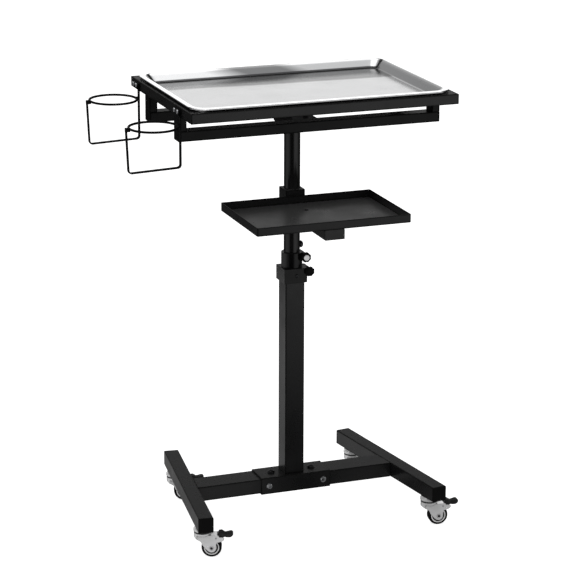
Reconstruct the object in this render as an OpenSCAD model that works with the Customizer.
// Rolling instrument cart: H base on four casters, square column, telescoping
// round pole, swivelling shelf and a top frame that carries a lift-off steel tray.
// Millimetres, +Z up, floor at Z = 0, front at -Y, left at -X, origin under the
// middle of the overall box.

/* [Base] */
// Side of the square leg tubes
leg_sec = 30; // [28:1:32]
// Length of each leg over its end caps
leg_len = 390; // [360:2:400]
// How far the middle of each leg is shifted rearward along the leg
leg_shift = 4; // [0:1:8]
// Distance from the column axis to each leg, level with the column
leg_x = 219; // [205:1:235]
// Angle each leg is splayed, front ends outward
leg_splay = 8; // [4:0.5:9]
// Height of the underside of the legs above the floor
leg_z = 62; // [62:1:64]
// Width of the crossbar tubes, front to back
bar_w = 55; // [50:1:56]
// Length of the central sleeve, side to side
sleeve_len = 148; // [140:2:156]

/* [Column] */
// Side of the square column tube
col_sec = 40; // [40:1:42]
// Height of the lower edge of the socket that caps the column
socket_z = 494; // [480:2:520]
// Side of the square socket
socket_sec = 48; // [48:1:50]
// Outside diameter of the round clamp
clamp_d = 42; // [42:1:46]
// Distance the pole can be raised
pole_rise = 300; // [200:10:300]

/* [Pole] */
// Outside diameter of the pole
pole_d = 32; // [31:0.5:32]
// Height of the underside of the pole-head cross member
head_z = 817; // [800:1:840]

/* [Shelf] */
// Width of the shelf
shelf_w = 311; // [280:1:320]
// Depth of the shelf
shelf_d = 207; // [190:1:210]
// Height of the shelf wall
shelf_h = 16.5; // [12:0.5:18]
// Height of the underside of the shelf floor
shelf_z = 655.5; // [650:0.5:665]

/* [Top frame] */
// Width of the top frame, side to side
top_w = 537; // [520:1:550]
// Depth of the top frame, front to back
top_d = 375; // [360:1:385]
// Side of the square tube of the top frame
top_sec = 20; // [18:1:20]
// Distance from the underside of the rails to the underside of the top frame
top_rise = 51; // [48:1:60]

/* [Tray] */
// Gap between the outer edge of the frame and the tray's rim
tray_inset = 6.5; // [5:0.5:8]
// Width of the flat rim of the tray
tray_rim = 9.5; // [8:0.5:10]
// Depth of the tray from its rim to its floor
tray_deep = 17; // [14:0.5:18]

/* [Cup holders] */
// Inside diameter of the cup rings
cup_d = 88; // [80:1:92]
// Drop from the ring to the bottom strap
cup_drop = 82; // [70:1:90]

/* [Hidden] */
$fn = 64;
NODES = [
    "base_sleeve", "crossbar_left", "crossbar_right", "leg_left", "leg_right",
    "leg_end_caps", "column", "column_bush", "sleeve_bolts", "column_socket",
    "socket_screw", "clamp_ring", "clamp_nuts", "caster_stems",
    "socket_knob", "clamp_knob", "clamp_knob_cap", "pole_slider",
    "pole", "pole_stop_screw", "pole_flange", "cross_member", "flange_bolts",
    "under_rails", "frame_posts", "rail_end_caps", "frame_long_tubes", "frame_short_tubes",
    "cup_holder_front", "cup_holder_rear", "cup_screws", "steel_tray",
    "shelf_bush", "shelf_pan", "shelf_arm", "shelf_collar", "shelf_arm_cap", "shelf_screws",
    "shelf_knob",
    "caster_fork_front_left", "caster_axle_front_left", "caster_wheel_front_left",
    "caster_tyre_front_left", "brake_pedal_front_left",
    "caster_fork_front_right", "caster_axle_front_right", "caster_wheel_front_right",
    "caster_tyre_front_right", "brake_pedal_front_right",
    "caster_fork_rear_left", "caster_axle_rear_left", "caster_wheel_rear_left",
    "caster_tyre_rear_left", "brake_pedal_rear_left",
    "caster_fork_rear_right", "caster_axle_rear_right", "caster_wheel_rear_right",
    "caster_tyre_rear_right", "brake_pedal_rear_right"
];
node = "all";

black = [0.11, 0.11, 0.115];
soft_black = [0.07, 0.07, 0.075];
pole_black = [0.12, 0.12, 0.125];
clamp_black = [0.15, 0.15, 0.155];
bush_black = [0.2, 0.2, 0.21];
slider_grey = [0.25, 0.25, 0.26];
tyre_black = [0.05, 0.05, 0.05];
wheel_grey = [0.82, 0.83, 0.84];
steel = [0.80, 0.81, 0.83];
chrome = [0.86, 0.87, 0.89];

eps = 0.01;                       // overlap of joined shapes
play = 0.05;                      // radial running clearance

// base
tube_t = 2;                       // wall of the leg and crossbar tubes
leg_top = leg_z + leg_sec;
leg_mid_z = leg_z + leg_sec / 2;
leg_cap_t = 3;
sleeve_t = 2.5;                   // wall
sleeve_top = leg_top + sleeve_t;
sleeve_w = bar_w + 2 * sleeve_t;
top_bolt_x = 43;                  // bolts through the top of the sleeve
side_bolt_x = 58;                 // bolts through its front and rear walls

// column head: socket below, round clamp above, a screw knob through each
socket_h = 29.5;
socket_top = socket_z + socket_h;
col_top = socket_top - 4;
col_in = col_sec - 4;             // inside of the column tube
clamp_h = 30;
socket_knob_x = 27.8;
socket_knob_z = socket_top - 7;
socket_knob_y = -29.2;            // front face of the grip
socket_ear_y = [-13, 10];         // front and rear faces of the ears
clamp_knob_x = 21.5;
clamp_knob_z = socket_top + 21.5;
clamp_knob_y = -26.7;
clamp_ear_y = [-12, 15];
ear_r = 7;
socket_screw_x = 2;
socket_screw_z = socket_knob_z - 8;
stud_r = 3;
grip_r = 10;                      // knob grip
flute_r = 2.2;
flutes = 8;

// pole and head
pole_r = pole_d / 2;
pole_foot = socket_z - 60 - pole_rise;
stop_z = socket_top + 43.5;       // stop screw
flange_t = 5;
flange_z = head_z - flange_t;
cross_h = 18;                     // cross member

// top frame
frame_t = 1.5;                    // wall of rails, posts and top tubes
rail_y0 = 75;                     // inner side of each rail
rail_d = 30;
rail_h = 20;
rail_hx = top_w / 2 - 2.5;        // half the length over the end caps
rail_z = head_z;
rail_mid_y = rail_y0 + rail_d / 2;
rail_cap_t = 1.5;
post_w = 16;
top_z = head_z + top_rise;
top_mid_z = top_z + top_sec / 2;
top_top = top_z + top_sec;

// tray
rim_z = top_top + 6;
tray_t = 1.2;
tray_floor = rim_z - tray_deep;   // upper side of the floor

// cup holders
cup_wire = 4.2;                   // side of the ring's square section
cup_t = 3;                        // strap thickness
cup_r = cup_d / 2;
cup_x = -top_w / 2 - cup_t - cup_r - 6.5;
cup_z = top_z - 13;
cup_reach = -cup_x + cup_r + 10.5;
cup_front_y = -126;
cup_rear_y = 133;
cup_tab = 21;                     // from the strap to the middle of the screw tab
cup_screw_dy = 9.2;               // from the middle of the tab to each screw
cup_hole_r = 2.2;

// shelf
shelf_front = -230;
shelf_t = 1.5;
shelf_screw_ys = [-190, -80];
arm_w = 40;
arm_h = 20;
arm_t = 1.5;
arm_mid_z = shelf_z - arm_h / 2;
arm_cap_t = 2;
collar_r = 18;                    // bore
collar_bot = shelf_z - arm_h;
collar_h = shelf_z + 27.5 - collar_bot;

// casters
wheel_r = 19.8;
trail = 18;                       // from the stem axis to the axle
fork_w = 24.6;
fork_t = 1.8;
fork_top = 46;
hood_z = 42.6;                    // underside of the fork's top plate
hood_x = 29;                      // end of the top plate, along the heading
hood_r = 16.6;
pin_x = 26.5;                     // pedal pivot
pin_z = 40.5;
pedal_reach = 60;
pedal_w = 17.2;
stem_in = 40;                     // from the leg's end to the stem
// each caster: side (-1 left), end (-1 front), heading in degrees from +X
front_left = [-1, -1, -20.6];
front_right = [1, -1, -8];
rear_left = [-1, 1, -15];
rear_right = [1, 1, -15];
casters = [front_left, front_right, rear_left, rear_right];

function stem_along(end) = end * (leg_len / 2 - stem_in) + leg_shift;
function stem_at(caster) =
    let (along = stem_along(caster[1]))
    [caster[0] * (leg_x - along * sin(leg_splay)), along * cos(leg_splay)];

// The box runs from the cup holders to the front right brake pedal,
// and from the front of the shelf to the rear leg ends.
pedal_side = 8;                   // sideways allowance for the pedal's corner
box_right = stem_at(front_right)[0] + pedal_reach * cos(front_right[2])
    - pedal_side * sin(front_right[2]);
box_rear = (leg_len / 2 + leg_shift) * cos(leg_splay) + (leg_sec / 2) * sin(leg_splay);
col_at = [(cup_reach - box_right) / 2, (-shelf_front - box_rear) / 2];

// ---------- shared shapes ----------
module at_column() {
    translate([col_at[0], col_at[1], 0]) children();
}
// local +Z points to +Y
module along_y(x, y, z) {
    translate([x, y, z]) rotate([-90, 0, 0]) children();
}
// local +Z points to +X
module along_x(x, y, z) {
    translate([x, y, z]) rotate([0, 90, 0]) children();
}
module tube_x(length, width, height, wall) {
    difference() {
        cube([length, width, height], center = true);
        cube([length + 2, width - 2 * wall, height - 2 * wall], center = true);
    }
}
module tube_y(length, width, height, wall) {
    difference() {
        cube([width, length, height], center = true);
        cube([width - 2 * wall, length + 2, height - 2 * wall], center = true);
    }
}
module rounded_rect(width, depth, radius) {
    square([width - 2 * radius, depth], center = true);
    square([width, depth - 2 * radius], center = true);
    for (x = [-1, 1], y = [-1, 1])
        translate([x * (width / 2 - radius), y * (depth / 2 - radius)]) circle(radius);
}
module hex(across_flats, height) {
    cylinder(h = height, r = across_flats / sqrt(3), $fn = 6);
}
module grip(height) {
    difference() {
        cylinder(r = grip_r, h = height);
        for (i = [0:flutes - 1])
            rotate(i * 360 / flutes) translate([grip_r + flute_r * 0.55, 0, -1])
                cylinder(r = flute_r, h = height + 2);
    }
}
// countersunk-shaped screw head on the -Z side, with a cross recess
module cross_head(radius, recess) {
    difference() {
        translate([0, 0, -2]) cylinder(r1 = 2.6, r2 = radius, h = 2);
        for (angle = [0, 90]) rotate(angle) translate([-2, -0.4, -3]) cube([4, 0.8, recess]);
    }
}

// ---------- base ----------
// origin on the leg's centre line, level with the column, Y along the leg
module at_leg(side) {
    translate([side * leg_x, 0, leg_mid_z]) rotate(side * leg_splay) children();
}
module leg(side) {
    bore = leg_sec - 2 * tube_t;
    color(black) at_column() difference() {
        at_leg(side) translate([0, leg_shift, 0])
            cube([leg_sec, leg_len - 2 * leg_cap_t, leg_sec], center = true);
        at_leg(side) {
            cube([bore, leg_len + 20, bore], center = true);
            for (end = [-1, 1]) translate([0, stem_along(end), -leg_sec / 2 - 1])
                cylinder(r = 5.2, h = tube_t + 2);
        }
    }
}
module leg_left() { leg(-1); }
module leg_right() { leg(1); }

// holes for one side's bolts: down from the top, and front to rear across "width"
module bolt_holes(side, bottom_z, width) {
    hole_r = 4.2;
    translate([side * top_bolt_x, 0, bottom_z]) cylinder(r = hole_r, h = 10);
    along_y(side * side_bolt_x, -width / 2 - 5, leg_mid_z) cylinder(r = hole_r, h = width + 10);
}
module crossbar(side) {
    inner_x = 34;
    trim = 40;
    color(black) at_column() difference() {
        translate([side * (inner_x + leg_x) / 2, 0, leg_mid_z])
            tube_x(leg_x - inner_x, bar_w, leg_sec, tube_t);
        // cut to meet the inner face of the splayed leg
        at_leg(side) cube([leg_sec, leg_len, leg_sec + 2], center = true);
        translate([side * trim / 2, 0, 0]) at_leg(side)
            cube([trim, leg_len, leg_sec + 2], center = true);
        bolt_holes(side, leg_top - 5, bar_w);
    }
}
module crossbar_left() { crossbar(-1); }
module crossbar_right() { crossbar(1); }

module base_sleeve() {
    color(black) at_column() difference() {
        translate([0, 0, leg_mid_z])
            tube_x(sleeve_len, sleeve_w, leg_sec + 2 * sleeve_t, sleeve_t);
        for (side = [-1, 1]) bolt_holes(side, leg_top - 1, sleeve_w);
    }
}
module sleeve_bolts() {
    bolt_r = 4;
    head_h = 4;
    nut_af = 13;
    nut_h = 6.5;
    key_af = 5;
    color(soft_black) at_column() for (side = [-1, 1]) {
        translate([side * top_bolt_x, 0, 0]) {
            translate([0, 0, leg_top - 8]) cylinder(r = bolt_r, h = 8 + sleeve_t + eps);
            difference() {
                translate([0, 0, sleeve_top]) cylinder(r1 = 7.5, r2 = 5.4, h = head_h);
                translate([0, 0, sleeve_top + 2]) hex(key_af, 3);
            }
            translate([0, 0, leg_top - tube_t - nut_h]) hex(nut_af, nut_h);
        }
        along_y(side * side_bolt_x, -sleeve_w / 2, leg_mid_z) {
            translate([0, 0, -eps]) cylinder(r = bolt_r, h = sleeve_w + 6);
            difference() {
                translate([0, 0, -head_h]) cylinder(r1 = 4.8, r2 = 6.8, h = head_h);
                translate([0, 0, -head_h - 1]) hex(key_af, 3.5);
            }
            translate([0, 0, sleeve_w]) hex(nut_af, nut_h);
        }
    }
}
module leg_end_caps() {
    plug = leg_sec - 2 * tube_t - 0.2;
    color(soft_black) at_column() for (side = [-1, 1], end = [-1, 1])
        at_leg(side) translate([0, end * (leg_len - leg_cap_t) / 2 + leg_shift, 0]) {
            cube([leg_sec, leg_cap_t, leg_sec], center = true);
            translate([0, -end * 8, 0]) cube([plug, 14, plug], center = true);
        }
}
module column() {
    color(black) at_column() difference() {
        translate([-col_sec / 2, -col_sec / 2, sleeve_top])
            cube([col_sec, col_sec, col_top - sleeve_top]);
        translate([-col_in / 2, -col_in / 2, sleeve_top - 1]) cube([col_in, col_in, 600]);
        along_y(socket_screw_x, -col_sec, socket_screw_z) cylinder(r = 2.2, h = col_sec);
    }
}
module column_bush() {
    side = col_in - 0.1;
    color(bush_black) at_column() difference() {
        translate([-side / 2, -side / 2, socket_z - 8]) cube([side, side, 31]);
        translate([0, 0, socket_z - 9]) cylinder(r = pole_r + play, h = 40);
        along_y(socket_screw_x, -col_sec / 2, socket_screw_z) cylinder(r = 1.8, h = 4.5);
    }
}

// ---------- column head ----------
// lug from inner_x out to a rounded end about the stud at x, z
module ears(inner_x, x, z, faces_y) {
    depth = faces_y[1] - faces_y[0];
    translate([inner_x, faces_y[0], z - ear_r]) cube([x - inner_x, depth, 2 * ear_r]);
    along_y(x, faces_y[0], z) cylinder(r = ear_r, h = depth);
}
// clamping slit that parts the ears, with the hole for the stud
module ear_cuts(slit_x, bottom_z, height, x, z) {
    translate([slit_x, -1, bottom_z - 1]) cube([24, 2, height + 2]);
    along_y(x, -20, z) cylinder(r = stud_r + play, h = 40);
}
module column_socket() {
    pocket = col_sec + 0.2;
    color(clamp_black) at_column() difference() {
        union() {
            translate([-socket_sec / 2, -socket_sec / 2, socket_z])
                cube([socket_sec, socket_sec, socket_h]);
            ears(socket_sec / 2 - 3, socket_knob_x, socket_knob_z, socket_ear_y);
        }
        translate([-pocket / 2, -pocket / 2, socket_z - 1])
            cube([pocket, pocket, col_top - socket_z + 1.1]);
        translate([0, 0, socket_z]) cylinder(r = pole_r + 0.6, h = socket_h + 1);
        ear_cuts(socket_sec / 2 - 6, socket_z, socket_h, socket_knob_x, socket_knob_z);
        along_y(socket_screw_x, -socket_sec / 2 - 1, socket_screw_z) cylinder(r = 2.2, h = 8);
        // pocket for the nut, relief for the knob's neck
        along_y(socket_knob_x, socket_ear_y[1], socket_knob_z) cylinder(r = 6.4, h = 20);
        along_y(socket_knob_x, -30, socket_knob_z) cylinder(r = 6.6, h = 30 + socket_ear_y[0]);
    }
}
module socket_screw() {
    color(soft_black) at_column() along_y(socket_screw_x, -socket_sec / 2, socket_screw_z) {
        translate([0, 0, -eps]) cylinder(r = 1.75, h = 7.4);
        cross_head(3.8, 1.9);
    }
}
module clamp_ring() {
    color(clamp_black) at_column() difference() {
        union() {
            translate([0, 0, socket_top]) cylinder(d = clamp_d, h = clamp_h);
            ears(14, clamp_knob_x, clamp_knob_z, clamp_ear_y);
        }
        translate([0, 0, socket_top - 1]) cylinder(r = pole_r + play, h = clamp_h + 2);
        ear_cuts(12, socket_top, clamp_h, clamp_knob_x, clamp_knob_z);
    }
}
module nut(x, y, z) {
    along_y(x, y, z) difference() {
        hex(10, 5);
        translate([0, 0, -1]) cylinder(r = stud_r + play, h = 8);
    }
}
module clamp_nuts() {
    color(steel) at_column() {
        nut(socket_knob_x, socket_ear_y[1], socket_knob_z);
        nut(clamp_knob_x, clamp_ear_y[1], clamp_knob_z);
    }
}
// Knob along Y: grip from front_y, then a neck and a stud that ends at tip_y.
// The neck's points are [radius, distance behind the grip].
module stud_knob(x, z, front_y, grip_h, neck, tip_y) {
    neck_end = neck[len(neck) - 1][1];
    along_y(x, front_y, z) {
        grip(grip_h);
        translate([0, 0, grip_h - eps]) rotate_extrude()
            polygon(concat([[0, 0]], neck, [[0, neck_end]]));
        translate([0, 0, grip_h - eps])
            cylinder(r = stud_r, h = tip_y - front_y - grip_h + eps);
    }
}
module socket_knob() {
    face_h = 1.3;
    neck = [[6.2, 0], [6.2, 11.2]];
    color(soft_black) at_column() {
        stud_knob(socket_knob_x, socket_knob_z, socket_knob_y, 4.8, neck, 15.5);
        along_y(socket_knob_x, socket_knob_y - face_h, socket_knob_z)
            cylinder(r1 = 6.4, r2 = 7.7, h = face_h + eps);
    }
}
module clamp_knob() {
    neck = [[7.7, 0], [7.3, 1.7], [4.1, 6.3]];
    color(soft_black) at_column()
        stud_knob(clamp_knob_x, clamp_knob_z, clamp_knob_y, 8.2, neck, 20.5);
}
module clamp_knob_cap() {
    color(chrome) at_column() along_y(clamp_knob_x, clamp_knob_y, clamp_knob_z)
        rotate([180, 0, 0]) {
            cylinder(r = 7.8, h = 0.8);
            cylinder(r1 = 7.3, r2 = 5.5, h = 1.8);
        }
}

// ---------- pole and head ----------
module pole_slider() {
    side = col_in - 0.2;
    color(slider_grey) at_column() difference() {
        translate([-side / 2, -side / 2, pole_foot - 5]) cube([side, side, 45]);
        translate([0, 0, pole_foot]) cylinder(r = pole_r + play, h = 60);
    }
}
module pole() {
    wall = 2;
    bottom_z = pole_foot + 0.1;
    color(pole_black) at_column() difference() {
        translate([0, 0, bottom_z]) cylinder(r = pole_r, h = flange_z - bottom_z);
        translate([0, 0, pole_foot - 1]) cylinder(r = pole_r - wall, h = 800);
        along_x(pole_r - 6, 0, stop_z) cylinder(r = 3.1, h = 10);
    }
}
module pole_stop_screw() {
    color(soft_black) at_column() along_x(0, 0, stop_z) {
        translate([0, 0, pole_r - 6]) cylinder(r = 3, h = 6.3);
        // domed head with a hexagonal recess
        difference() {
            translate([0, 0, pole_r]) intersection() {
                cylinder(r = 7, h = 7);
                translate([0, 0, -4.2]) sphere(r = 11.2);
            }
            translate([0, 0, pole_r + 5]) hex(4, 3);
        }
    }
}
module at_flange_bolts(z) {
    for (x = [-1, 1], y = [-1, 1]) translate([x * 17, y * 28, z]) children();
}
module flange_holes(bottom_z, depth) {
    at_flange_bolts(bottom_z) cylinder(r = 3.2, h = depth);
}
module pole_flange() {
    color(black) at_column() difference() {
        translate([-25, -40, flange_z]) cube([50, 80, flange_t]);
        flange_holes(flange_z - 1, flange_t + 3);
    }
}
module cross_member() {
    color(black) at_column() difference() {
        translate([0, 0, head_z + cross_h / 2]) tube_y(2 * rail_y0, 52, cross_h, 2);
        flange_holes(head_z - 1, cross_h + 2);
    }
}
module flange_bolts() {
    nut_h = 5;
    across_flats = 10;
    color(soft_black) at_column() at_flange_bolts(0) {
        translate([0, 0, head_z - 11]) cylinder(r = 3, h = 29.5);
        translate([0, 0, flange_z - nut_h]) hex(across_flats, nut_h);
        translate([0, 0, head_z + cross_h]) hex(across_flats, 4);
    }
}

// ---------- top frame ----------
module under_rails() {
    color(black) at_column() for (side = [-1, 1])
        translate([0, side * rail_mid_y, rail_z + rail_h / 2])
            tube_x(2 * (rail_hx - rail_cap_t), rail_d, rail_h, frame_t);
}
module rail_end_caps() {
    slack = 2 * frame_t + 0.2;
    color(soft_black) at_column() for (side = [-1, 1], end = [-1, 1])
        translate([end * (rail_hx - rail_cap_t / 2), side * rail_mid_y, rail_z + rail_h / 2]) {
            cube([rail_cap_t, rail_d, rail_h], center = true);
            translate([-end * 5, 0, 0]) cube([9, rail_d - slack, rail_h - slack], center = true);
        }
}
module frame_posts() {
    bottom_z = rail_z + rail_h;
    bore_w = post_w - 2 * frame_t;
    bore_d = rail_d - 2 * frame_t;
    color(black) at_column() for (side = [-1, 1], end = [-1, 1])
        translate([end * (rail_hx - post_w / 2), side * rail_mid_y, 0]) difference() {
            translate([-post_w / 2, -rail_d / 2, bottom_z])
                cube([post_w, rail_d, top_z - bottom_z]);
            translate([-bore_w / 2, -bore_d / 2, rail_z]) cube([bore_w, bore_d, 80]);
        }
}
// tube of the top frame along X, outer face at Y = 0, ends mitred at 45 degrees
module mitred(length) {
    cutter = [80, 120, 40];
    difference() {
        translate([0, top_sec / 2, 0]) tube_x(length, top_sec, top_sec, frame_t);
        for (end = [-1, 1])
            translate([end * length / 2, 0, 0]) rotate(end * 45)
                translate([end > 0 ? 0 : -cutter[0], -40, -cutter[2] / 2]) cube(cutter);
    }
}
module frame_long_tubes() {
    color(black) at_column() translate([0, 0, top_mid_z])
        for (turn = [0, 180]) rotate(turn) translate([0, -top_d / 2, 0]) mitred(top_w);
}
module frame_short_tubes() {
    color(black) at_column() difference() {
        translate([0, 0, top_mid_z])
            for (turn = [90, 270]) rotate(turn) translate([0, -top_w / 2, 0]) mitred(top_d);
        for (mid_y = [cup_front_y, cup_rear_y])
            at_cup_screws(mid_y, -top_w / 2 - 1) cylinder(r = cup_hole_r, h = 4);
    }
}

// ---------- tray ----------
// plate whose edge lies "inset" inside the edge of the top frame
module tray_block(inset, bottom_z, upper_z, radius) {
    translate([0, 0, bottom_z]) linear_extrude(upper_z - bottom_z)
        rounded_rect(top_w - 2 * inset, top_d - 2 * inset, radius);
}
// tapered body through stations of [inset, z, corner radius]
module tray_taper(stations, slice) {
    for (i = [0:len(stations) - 2]) hull() for (station = [stations[i], stations[i + 1]])
        translate([0, 0, station[1]]) linear_extrude(slice)
            rounded_rect(top_w - 2 * station[0], top_d - 2 * station[0], station[2], $fn = 32);
}
module steel_tray() {
    rim_in = tray_inset + tray_rim;   // inner edge of the rim
    rim_r = 34;
    slice = 0.02;
    outside = [
        [rim_in - 1, rim_z - 2, 25],
        [top_sec + 0.4, top_top - 0.3, 22],
        [31, tray_floor - tray_t, 16]
    ];
    inside = [
        [rim_in, rim_z - tray_t, 24],
        [top_sec + 1.9, top_top - 0.1, 21],
        [32, tray_floor - slice, 15]
    ];
    color(steel) at_column() difference() {
        union() {
            tray_block(tray_inset, rim_z - tray_t, rim_z, rim_r);
            // lip turned down around the rim
            difference() {
                tray_block(tray_inset, rim_z - 3, rim_z, rim_r);
                tray_block(tray_inset + tray_t, rim_z - 4, rim_z + 1, rim_r - tray_t);
            }
            tray_block(rim_in - 1, rim_z - 2, rim_z - 0.5, 25);
            tray_taper(outside, slice);
        }
        tray_block(rim_in, rim_z - tray_t, rim_z + 1, 24);
        tray_taper(inside, slice);
    }
}

// ---------- cup holders ----------
module at_cup_screws(mid_y, x) {
    for (side = [-1, 1])
        along_x(x, mid_y + cup_tab + side * cup_screw_dy, top_mid_z) children();
}
// flat strap along a line of [x, z] points, centred on Y = 0
module strap(points, width) {
    translate([0, width / 2, 0]) rotate([90, 0, 0]) linear_extrude(width) {
        for (i = [0:len(points) - 2]) {
            start = points[i];
            stop = points[i + 1];
            step = stop - start;
            offset_by = [-step[1], step[0]] / norm(step) * cup_t / 2;
            polygon([start + offset_by, stop + offset_by, stop - offset_by, start - offset_by]);
        }
        for (i = [1:len(points) - 2]) translate(points[i]) circle(cup_t / 2, $fn = 16);
    }
}
module cup_holder(mid_y) {
    inner_x = -top_w / 2 - cup_t / 2;  // middle of the inner leg
    outer_x = -cup_reach + cup_t / 2;
    bottom_z = cup_z - cup_drop;
    ring_x = cup_x + cup_r + 2;
    strap_w = 8;
    tab_z = top_z + 3;
    tab_h = 13;
    inner_leg = [
        [inner_x, top_top - 6],
        [inner_x, bottom_z + 6],
        [inner_x - 1.5, bottom_z + 2.5],
        [inner_x - 5, bottom_z + 1]
    ];
    outer_leg = [
        [inner_x - 4.8, bottom_z + 1],
        [outer_x + 9, bottom_z - 2.3],
        [outer_x + 5.2, bottom_z - 0.8],
        [outer_x + 3.6, bottom_z + 3],
        [outer_x, cup_z + 1]
    ];
    color(black) at_column() translate([0, mid_y, 0]) difference() {
        union() {
            translate([cup_x, 0, cup_z]) rotate_extrude()
                translate([cup_r, -cup_wire / 2]) square([cup_wire, cup_wire]);
            // inner leg with its screw tab
            strap(inner_leg, strap_w);
            translate([inner_x - cup_t / 2, 0, tab_z])
                cube([cup_t, cup_tab + cup_screw_dy + 5.8, tab_h]);
            translate([inner_x - cup_t / 2, -strap_w / 2, tab_z]) cube([cup_t, strap_w, tab_h]);
            // bottom and outer leg
            strap(outer_leg, 7.5);
            // blocks that join the ring to the outer and inner legs
            translate([outer_x - cup_t / 2, -4.5, cup_z - 5]) cube([9, 9, 5 + cup_wire / 2]);
            translate([ring_x, -strap_w / 2, cup_z - cup_wire / 2])
                cube([inner_x - ring_x, strap_w, cup_wire]);
        }
        translate([cup_x, 0, cup_z - 8]) cylinder(r = cup_r, h = 16, $fn = 96);
        // clearance under the ring
        translate([cup_x, 0, cup_z - 8]) cylinder(r = cup_r + 1.4, h = 8 - cup_wire / 2);
        at_cup_screws(0, -top_w / 2 - 6) cylinder(r = cup_hole_r, h = 8);
    }
}
module cup_holder_front() { cup_holder(cup_front_y); }
module cup_holder_rear() { cup_holder(cup_rear_y); }
module cup_screws() {
    color(steel) at_column() for (mid_y = [cup_front_y, cup_rear_y])
        at_cup_screws(mid_y, -top_w / 2 - cup_t) {
            translate([0, 0, -eps]) cylinder(r = 2, h = 4.5);
            cross_head(4, 1.8);
        }
}

// ---------- shelf ----------
module shelf_bush() {
    color(slider_grey) at_column() difference() {
        translate([0, 0, collar_bot]) cylinder(r = collar_r - play, h = collar_h);
        translate([0, 0, collar_bot - 1]) cylinder(r = pole_r + play, h = 100);
    }
}
module shelf_collar() {
    color(black) at_column() difference() {
        translate([-arm_w / 2, -arm_w / 2, collar_bot]) cube([arm_w, arm_w, collar_h]);
        translate([0, 0, collar_bot - 1]) cylinder(r = collar_r, h = 100);
        along_y(0, 10, arm_mid_z) cylinder(r = stud_r + play, h = 20);
    }
}
module shelf_screw_holes() {
    for (y = shelf_screw_ys) translate([0, y, shelf_z - 5]) cylinder(r = 2.7, h = 10);
}
module shelf_arm() {
    front_y = shelf_front + arm_cap_t;
    rear_y = -arm_w / 2;          // front face of the collar
    color(black) at_column() difference() {
        translate([0, (front_y + rear_y) / 2, arm_mid_z])
            tube_y(rear_y - front_y, arm_w, arm_h, arm_t);
        shelf_screw_holes();
    }
}
module shelf_arm_cap() {
    inset = arm_t + 0.1;
    color(soft_black) at_column() {
        translate([-arm_w / 2, shelf_front, collar_bot]) cube([arm_w, arm_cap_t, arm_h]);
        translate([-arm_w / 2 + inset, shelf_front + 1, collar_bot + inset])
            cube([arm_w - 2 * inset, 12, arm_h - 2 * inset]);
    }
}
module shelf_pan() {
    color(black) at_column() difference() {
        translate([-shelf_w / 2, shelf_front, shelf_z]) cube([shelf_w, shelf_d, shelf_h]);
        translate([-shelf_w / 2 + shelf_t, shelf_front + shelf_t, shelf_z + shelf_t])
            cube([shelf_w - 2 * shelf_t, shelf_d - 2 * shelf_t, shelf_h]);
        shelf_screw_holes();
    }
}
module shelf_screws() {
    color(soft_black) at_column() for (y = shelf_screw_ys) translate([0, y, shelf_z]) {
        translate([0, 0, -6]) cylinder(r = 2.5, h = 7.6);
        translate([0, 0, -5.5]) hex(8, 4);
        translate([0, 0, shelf_t]) cylinder(r1 = 4.6, r2 = 3, h = 1.6);
    }
}
module shelf_knob() {
    grip_h = 13;
    color(soft_black) at_column() along_y(0, arm_w / 2 + 0.3, arm_mid_z) {
        translate([0, 0, -2.2]) cylinder(r = stud_r, h = 4);
        grip(grip_h);
        translate([0, 0, grip_h - eps]) cylinder(r1 = 7.7, r2 = 6.4, h = 1.3);
    }
}

// ---------- casters ----------
// origin on the floor under the stem, +X along the heading
module at_caster(caster) {
    stem = stem_at(caster);
    translate([col_at[0] + stem[0], col_at[1] + stem[1], 0]) rotate(caster[2]) children();
}
// origin in the middle of the wheel, Z along the axle
module at_axle(caster) {
    at_caster(caster) translate([trail, 0, wheel_r]) rotate([90, 0, 0]) children();
}
module caster_stems() {
    disc_r = 17.5;
    color(soft_black) for (caster = casters) at_caster(caster) {
        translate([0, 0, leg_z - 12]) cylinder(r = disc_r, h = 9);
        translate([0, 0, leg_z - 3 - eps]) cylinder(r1 = disc_r, r2 = 13, h = 3 + eps);
        translate([0, 0, leg_z - eps]) cylinder(r = 5, h = 22);
        translate([0, 0, leg_z + tube_t]) hex(16, 7);
        translate([0, 0, 43]) cylinder(r = 4, h = 10);
    }
}
// side plate of a fork, its outline as [x, z] points
module cheek() {
    boss_r = 8.8;
    outline = [
        [-11.1, fork_top], [31, fork_top], [33.5, 42.5], [41, 42], [43, 39.6],
        [42, 36.5], [38.6, 33.8], [28.6, 31], [26.9, 27], [trail + boss_r, wheel_r],
        [trail + 6, 13.2], [trail, 11], [trail - 6, 13.2], [trail - 10.5, 17],
        [4.2, 21.4], [0.6, 25.4], [-1.6, 31], [-4, 33.8], [-11.1, 37.9]
    ];
    rotate([90, 0, 0]) linear_extrude(fork_t) difference() {
        union() {
            polygon(outline);
            translate([trail, wheel_r]) circle(boss_r);
        }
        translate([trail, wheel_r]) circle(3);
    }
}
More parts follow.
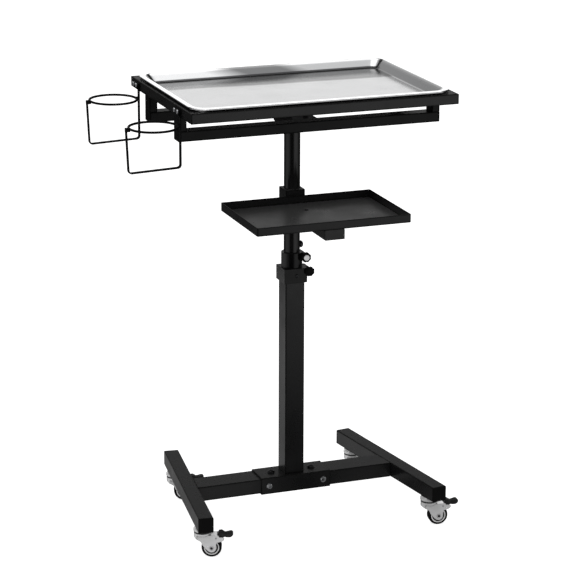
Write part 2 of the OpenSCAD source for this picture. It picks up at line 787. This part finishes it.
// rounded back of the hood, its lower edge slanting down to the cheeks
module hood_back() {
    outline = [[-18, 46], [-10.4, 46], [-10.4, 37.5], [-17.2, 41.5], [-18, 41.9]];  // x, z
    intersection() {
        difference() {
            translate([0, 0, 36]) cylinder(r = hood_r, h = 10);
            translate([0, 0, 35]) cylinder(r = hood_r - fork_t, h = hood_z - 35);
        }
        translate([0, 30, 0]) rotate([90, 0, 0]) linear_extrude(60) polygon(outline);
    }
}
module fork(caster) {
    back_x = -11.1;
    lip_z = 38.4;
    color(chrome) at_caster(caster) difference() {
        union() {
            for (side = [-1, 1])
                translate([0, side * (fork_w - fork_t) / 2 + fork_t / 2, 0]) cheek();
            translate([back_x, -fork_w / 2, hood_z])
                cube([hood_x - back_x, fork_w, fork_top - hood_z]);
            hood_back();
            // lip at the end of the top plate
            translate([hood_x - fork_t, -7, lip_z]) cube([fork_t, 14, fork_top - lip_z]);
            // flared disc under the stem's disc
            translate([0, 0, fork_top - 2]) cylinder(r1 = 14.2, r2 = hood_r, h = 2);
            translate([0, 0, fork_top - eps]) cylinder(r = hood_r, h = 3.8);
        }
        translate([0, 0, 40]) cylinder(r = 4.05, h = 12);
        translate([pin_x, 30, pin_z]) rotate([90, 0, 0]) cylinder(r = 1.55, h = 60);
    }
}
module axle(caster) {
    head_t = 1.5;
    color(chrome) at_axle(caster) {
        translate([0, 0, -fork_w / 2]) cylinder(r = 3, h = fork_w);
        for (side = [-1, 1]) translate([0, 0, side * (fork_w + head_t) / 2])
            cylinder(r = 4.2, h = head_t, center = true);
    }
}
module wheel(caster) {
    wheel_w = 18.6;
    color(wheel_grey) at_axle(caster) difference() {
        cylinder(r = 17.2, h = wheel_w, center = true);
        // ring-shaped recess in each face
        for (side = [-1, 1]) translate([0, 0, side * wheel_w / 2]) difference() {
            cylinder(r = 14.8, h = 5, center = true);
            cylinder(r = 11.6, h = 6, center = true);
        }
        cylinder(r = 3 + play, h = 30, center = true);
    }
}
module tyre(caster) {
    // radius, distance along the axle
    profile = [
        [17.2, -8.6], [18.6, -8.6], [wheel_r, -6.6],
        [wheel_r, 6.6], [18.6, 8.6], [17.2, 8.6]
    ];
    color(tyre_black) at_axle(caster) rotate_extrude() polygon(profile);
}
module pedal(caster) {
    // side view as [x, z] points
    outline = [
        [29.6, 47.5], [33, 51.5], [39, 51.8], [45, 49], [52, 48.6], [57, 50],
        [pedal_reach, 48.4], [pedal_reach - 2, 45.2], [51, 44.2], [43, 43.6],
        [37, 42], [33.5, 38.5], [29.9, 38.2], [29.6, 41]
    ];
    color(soft_black) at_caster(caster) {
        // pivot pin through the fork, then the pedal and its two lugs
        translate([pin_x, fork_w / 2, pin_z]) rotate([90, 0, 0]) cylinder(r = 1.5, h = fork_w);
        translate([0, pedal_w / 2, 0]) rotate([90, 0, 0]) linear_extrude(pedal_w)
            polygon(outline);
        for (side = [-1, 1]) translate([25, side * 8.4 - 0.6, 38.8]) cube([7.5, 1.2, 3.2]);
    }
}
module caster_fork_front_left() { fork(front_left); }
module caster_axle_front_left() { axle(front_left); }
module caster_wheel_front_left() { wheel(front_left); }
module caster_tyre_front_left() { tyre(front_left); }
module brake_pedal_front_left() { pedal(front_left); }
module caster_fork_front_right() { fork(front_right); }
module caster_axle_front_right() { axle(front_right); }
module caster_wheel_front_right() { wheel(front_right); }
module caster_tyre_front_right() { tyre(front_right); }
module brake_pedal_front_right() { pedal(front_right); }
module caster_fork_rear_left() { fork(rear_left); }
module caster_axle_rear_left() { axle(rear_left); }
module caster_wheel_rear_left() { wheel(rear_left); }
module caster_tyre_rear_left() { tyre(rear_left); }
module brake_pedal_rear_left() { pedal(rear_left); }
module caster_fork_rear_right() { fork(rear_right); }
module caster_axle_rear_right() { axle(rear_right); }
module caster_wheel_rear_right() { wheel(rear_right); }
module caster_tyre_rear_right() { tyre(rear_right); }
module brake_pedal_rear_right() { pedal(rear_right); }

function shown(name) = node == "all" || node == name;

if (shown("base_sleeve")) base_sleeve();
if (shown("crossbar_left")) crossbar_left();
if (shown("crossbar_right")) crossbar_right();
if (shown("leg_left")) leg_left();
if (shown("leg_right")) leg_right();
if (shown("leg_end_caps")) leg_end_caps();
if (shown("column")) column();
if (shown("column_bush")) column_bush();
if (shown("sleeve_bolts")) sleeve_bolts();
if (shown("column_socket")) column_socket();
if (shown("socket_screw")) socket_screw();
if (shown("clamp_ring")) clamp_ring();
if (shown("clamp_nuts")) clamp_nuts();
if (shown("caster_stems")) caster_stems();
if (shown("socket_knob")) socket_knob();
if (shown("clamp_knob")) clamp_knob();
if (shown("clamp_knob_cap")) clamp_knob_cap();
if (shown("pole_slider")) pole_slider();
if (shown("pole")) pole();
if (shown("pole_stop_screw")) pole_stop_screw();
if (shown("pole_flange")) pole_flange();
if (shown("cross_member")) cross_member();
if (shown("flange_bolts")) flange_bolts();
if (shown("under_rails")) under_rails();
if (shown("frame_posts")) frame_posts();
if (shown("rail_end_caps")) rail_end_caps();
if (shown("frame_long_tubes")) frame_long_tubes();
if (shown("frame_short_tubes")) frame_short_tubes();
if (shown("cup_holder_front")) cup_holder_front();
if (shown("cup_holder_rear")) cup_holder_rear();
if (shown("cup_screws")) cup_screws();
if (shown("steel_tray")) steel_tray();
if (shown("shelf_bush")) shelf_bush();
if (shown("shelf_pan")) shelf_pan();
if (shown("shelf_arm")) shelf_arm();
if (shown("shelf_collar")) shelf_collar();
if (shown("shelf_arm_cap")) shelf_arm_cap();
if (shown("shelf_screws")) shelf_screws();
if (shown("shelf_knob")) shelf_knob();
if (shown("caster_fork_front_left")) caster_fork_front_left();
if (shown("caster_axle_front_left")) caster_axle_front_left();
if (shown("caster_wheel_front_left")) caster_wheel_front_left();
if (shown("caster_tyre_front_left")) caster_tyre_front_left();
if (shown("brake_pedal_front_left")) brake_pedal_front_left();
if (shown("caster_fork_front_right")) caster_fork_front_right();
if (shown("caster_axle_front_right")) caster_axle_front_right();
if (shown("caster_wheel_front_right")) caster_wheel_front_right();
if (shown("caster_tyre_front_right")) caster_tyre_front_right();
if (shown("brake_pedal_front_right")) brake_pedal_front_right();
if (shown("caster_fork_rear_left")) caster_fork_rear_left();
if (shown("caster_axle_rear_left")) caster_axle_rear_left();
if (shown("caster_wheel_rear_left")) caster_wheel_rear_left();
if (shown("caster_tyre_rear_left")) caster_tyre_rear_left();
if (shown("brake_pedal_rear_left")) brake_pedal_rear_left();
if (shown("caster_fork_rear_right")) caster_fork_rear_right();
if (shown("caster_axle_rear_right")) caster_axle_rear_right();
if (shown("caster_wheel_rear_right")) caster_wheel_rear_right();
if (shown("caster_tyre_rear_right")) caster_tyre_rear_right();
if (shown("brake_pedal_rear_right")) brake_pedal_rear_right();
